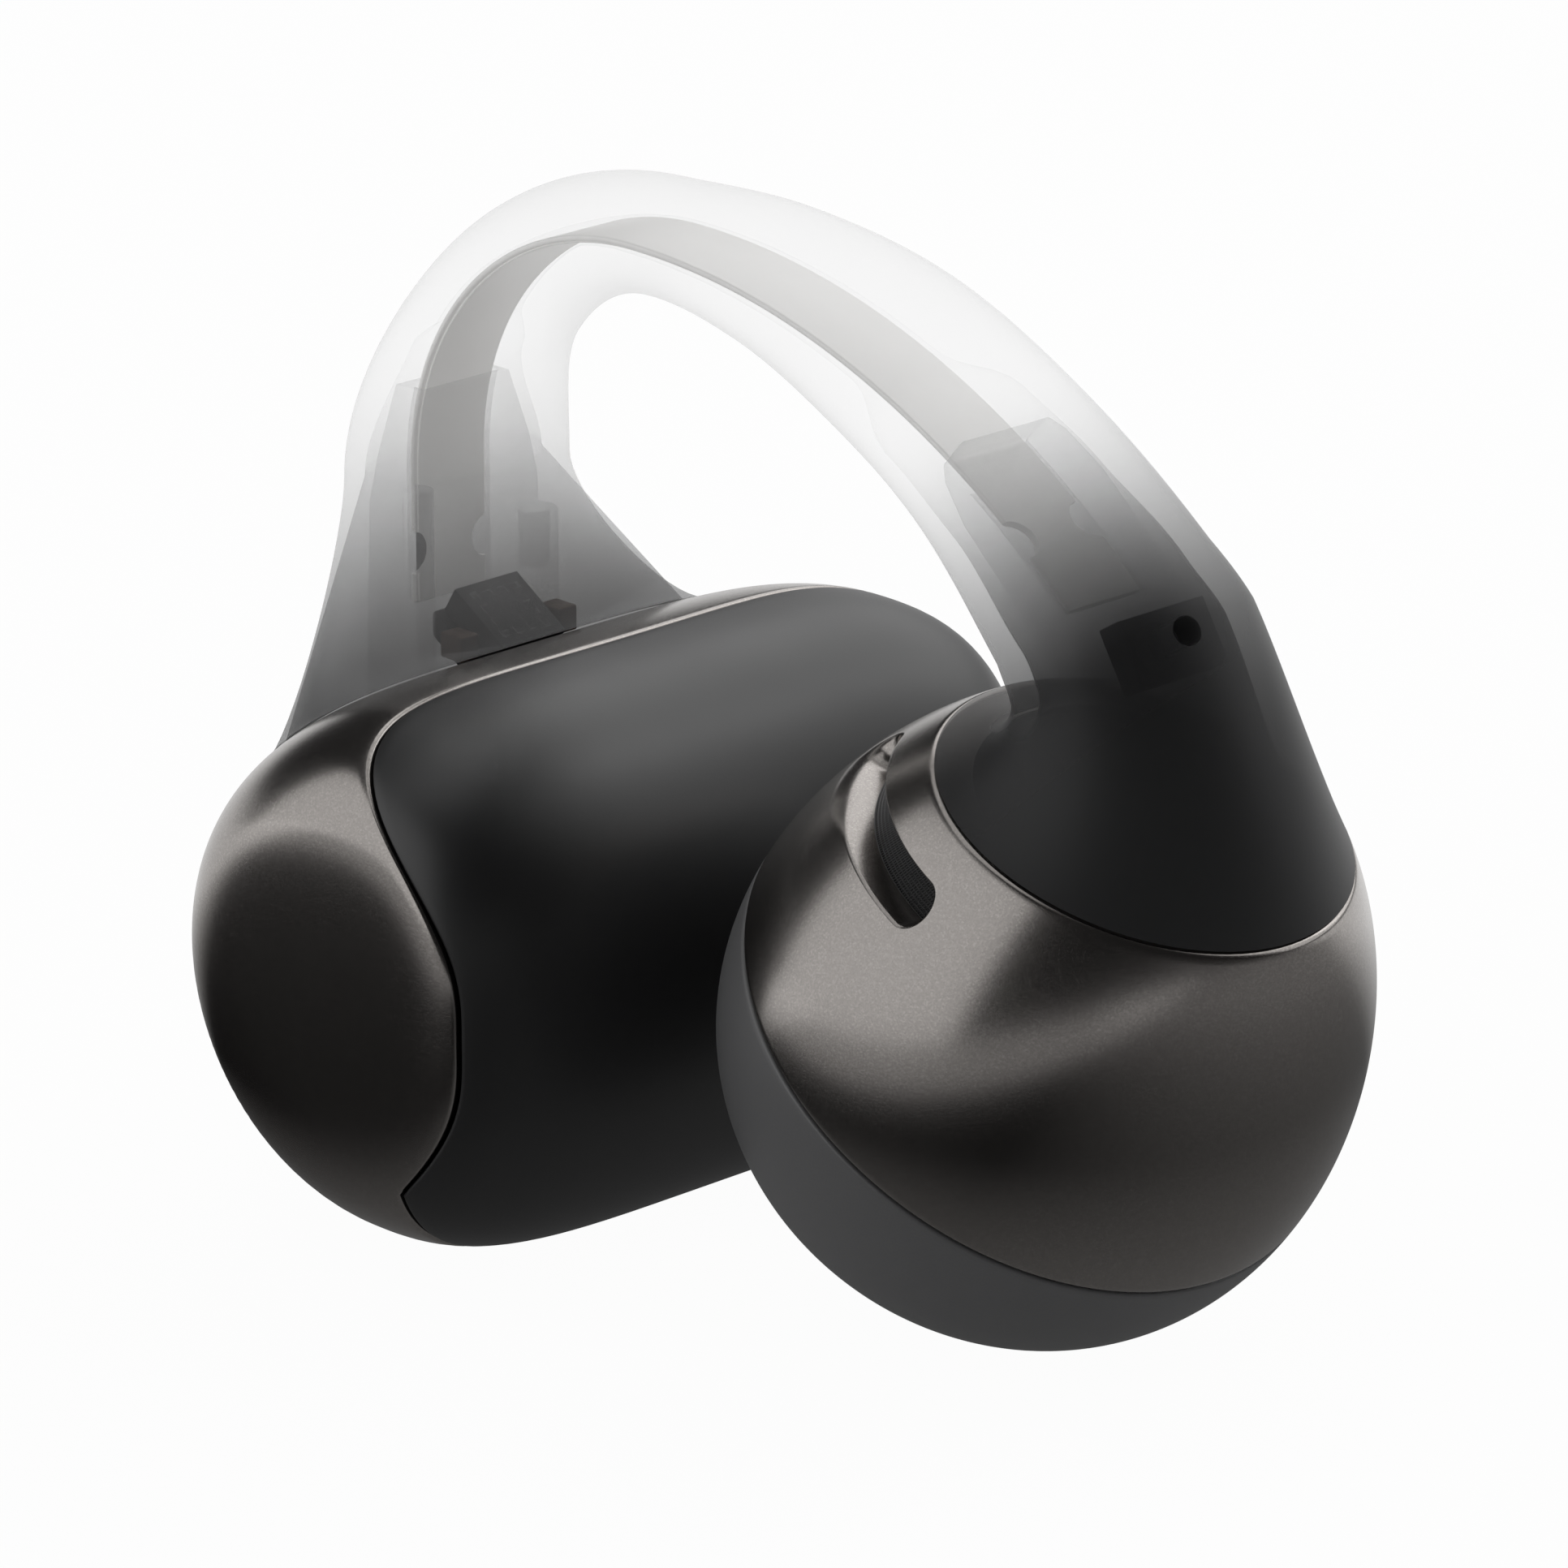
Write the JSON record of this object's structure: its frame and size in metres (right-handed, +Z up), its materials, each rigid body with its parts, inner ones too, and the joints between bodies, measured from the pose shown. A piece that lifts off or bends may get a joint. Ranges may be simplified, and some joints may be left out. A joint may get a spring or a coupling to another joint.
{
  "type": "open-ear clip earphone",
  "caption": "Clip-on earphone: a rounded battery capsule and an egg-shaped speaker ball joined by a springy see-through bridge.",
  "frame": {"origin": "on the ground, under the middle of the clip's box, as it stands on its capsule and its ball", "axes": "+X from the battery capsule to the speaker ball, +Y along the capsule, +Z up to the bridge's crown"},
  "size_m": [0.0274, 0.0184, 0.0236],
  "materials": {
    "pearl_shell": "warm grey-brown pearl paint with a fine metal grain",
    "soft_cover": "soft-touch charcoal, satin",
    "clear_sleeve": "silicone, clear at the crown and charcoal at both ends",
    "clear_plastic": "clear moulded plastic",
    "spring_metal": "satin spring metal",
    "coverlay": "satin grey coverlay",
    "cell_steel": "rolled steel",
    "cell_wrap": "plastic ring",
    "nickel": "nickel strip",
    "dark_plastic": "moulded, fine texture",
    "board_green": "solder mask",
    "chip_black": "moulded package",
    "connector_cream": "moulded connector",
    "copper": "bare copper",
    "magnet_metal": "nickel plate",
    "gold_contact": "gold plate",
    "mesh_black": "fine woven mesh",
    "plated_steel": "plated steel",
    "foam": "closed-cell foam",
    "rubber_roll": "moulded roll",
    "film": "formed film",
    "flex_amber": "polyimide film"
  },
  "bodies": {
    "capsule": {"capsule_shell": "pearl_shell", "capsule_cover": "soft_cover", "cell_cradle": "dark_plastic", "cell_can": "cell_steel", "cell_top_cap": "cell_steel", "cell_insulator": "cell_wrap", "cell_tabs": "nickel", "capsule_board": "board_green", "charger_chip": "chip_black", "board_plug": "connector_cream", "touch_electrode": "copper", "far_touch_electrode": "copper", "dock_magnets": "magnet_metal", "charge_pins": "gold_contact", "rear_anchor": "clear_plastic", "sensor_chip": "chip_black", "sensor_carrier": "chip_black", "rear_terminals": "copper", "spring_strip": "spring_metal", "bridge_flex": "coverlay", "bridge_sleeve": "clear_sleeve"},
    "ball": {"front_anchor": "clear_plastic", "neck_plug": "dark_plastic", "mic_module": "chip_black", "mic_tube": "clear_plastic", "ball_band": "pearl_shell", "ball_cap": "soft_cover", "outlet_carrier": "dark_plastic", "outlet_mesh": "mesh_black", "speaker_basket": "dark_plastic", "speaker_yoke": "plated_steel", "speaker_magnet": "magnet_metal", "speaker_top_plate": "plated_steel", "speaker_ring": "dark_plastic", "speaker_gasket": "foam", "surround": "rubber_roll", "main_board": "board_green", "radio_chip": "chip_black", "board_socket": "connector_cream", "riser_flex": "flex_amber"},
    "diaphragm": {"diaphragm": "film", "voice_coil": "copper"}
  },
  "joints": [
    {"name": "bridge_flex_open", "type": "hinge", "parent": "capsule", "child": "ball", "pos_m": [-0.00554, 0, 0.0221], "axis": [0, -1, 0], "range_deg": [0, 28], "stiffness_Nm_per_rad": 0.04, "deforming": ["bridge_sleeve", "spring_strip", "bridge_flex"]},
    {"name": "diaphragm_stroke", "type": "slide", "parent": "ball", "child": "diaphragm", "axis": [0.5948, 0, 0.8039], "range_m": [-0.00025, 0.00025], "stiffness_N_per_m": 400, "deforming": ["surround"]}
  ]
}
